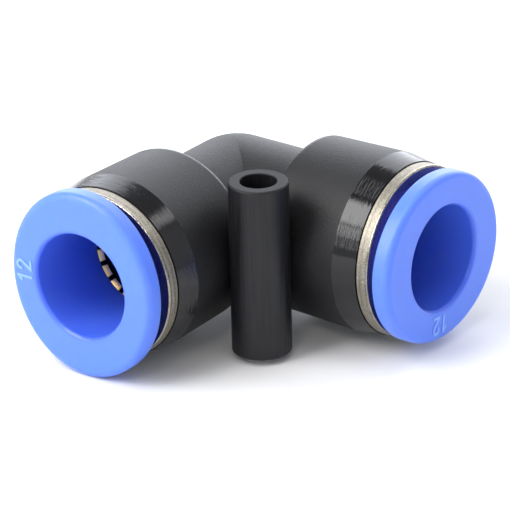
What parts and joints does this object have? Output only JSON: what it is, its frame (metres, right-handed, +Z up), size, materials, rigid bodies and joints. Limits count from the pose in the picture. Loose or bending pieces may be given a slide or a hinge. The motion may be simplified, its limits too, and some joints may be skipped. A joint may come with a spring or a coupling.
{
  "type": "push to connect elbow fitting",
  "caption": "Right-angle push-in union for 12 mm air tube, with blue release rings, metal collars, gripping claws, lip seals and a screw tube in the inner corner.",
  "frame": {"origin": "on the axis of the screw hole, half way up it, in the plane of the two port axes", "axes": "+X is the way the right port opens, -Y is the way the front port opens, +Z runs up the screw hole"},
  "size_m": [0.0397, 0.0402, 0.022],
  "materials": {
    "body_plastic": "fine spark-eroded texture, smooth glossy band at each mouth",
    "release_plastic": "moulded, satin",
    "collar_metal": "turned and nickel-plated",
    "claw_steel": "stamped and hardened",
    "back_ring_plastic": "moulded",
    "seal_rubber": "moulded"
  },
  "bodies": {
    "root": {"elbow_body": "body_plastic", "front_collar": "collar_metal", "front_back_ring": "back_ring_plastic", "front_seal": "seal_rubber", "right_collar": "collar_metal", "right_back_ring": "back_ring_plastic", "right_seal": "seal_rubber"},
    "front_claws": {"front_claw_ring": "claw_steel"},
    "front_release": {"front_release_ring": "release_plastic"},
    "right_claws": {"right_claw_ring": "claw_steel"},
    "right_release": {"right_release_ring": "release_plastic"}
  },
  "joints": [
    {"name": "front_ring_turn", "type": "hinge", "parent": "root", "child": "front_claws", "pos_m": [-0.0131, -0.007, 0], "axis": [0, -1, 0], "continuous": true},
    {"name": "front_ring_push", "type": "slide", "parent": "front_claws", "child": "front_release", "axis": [0, 1, 0], "range_m": [0, 0.0012], "stiffness_N_per_m": 3000, "springref_m": -0.0005, "deforming": ["front_claw_ring"]},
    {"name": "right_ring_turn", "type": "hinge", "parent": "root", "child": "right_claws", "pos_m": [0.007, 0.0131, 0], "axis": [1, 0, 0], "continuous": true},
    {"name": "right_ring_push", "type": "slide", "parent": "right_claws", "child": "right_release", "axis": [-1, 0, 0], "range_m": [0, 0.0012], "stiffness_N_per_m": 3000, "springref_m": -0.0005, "deforming": ["right_claw_ring"]}
  ]
}
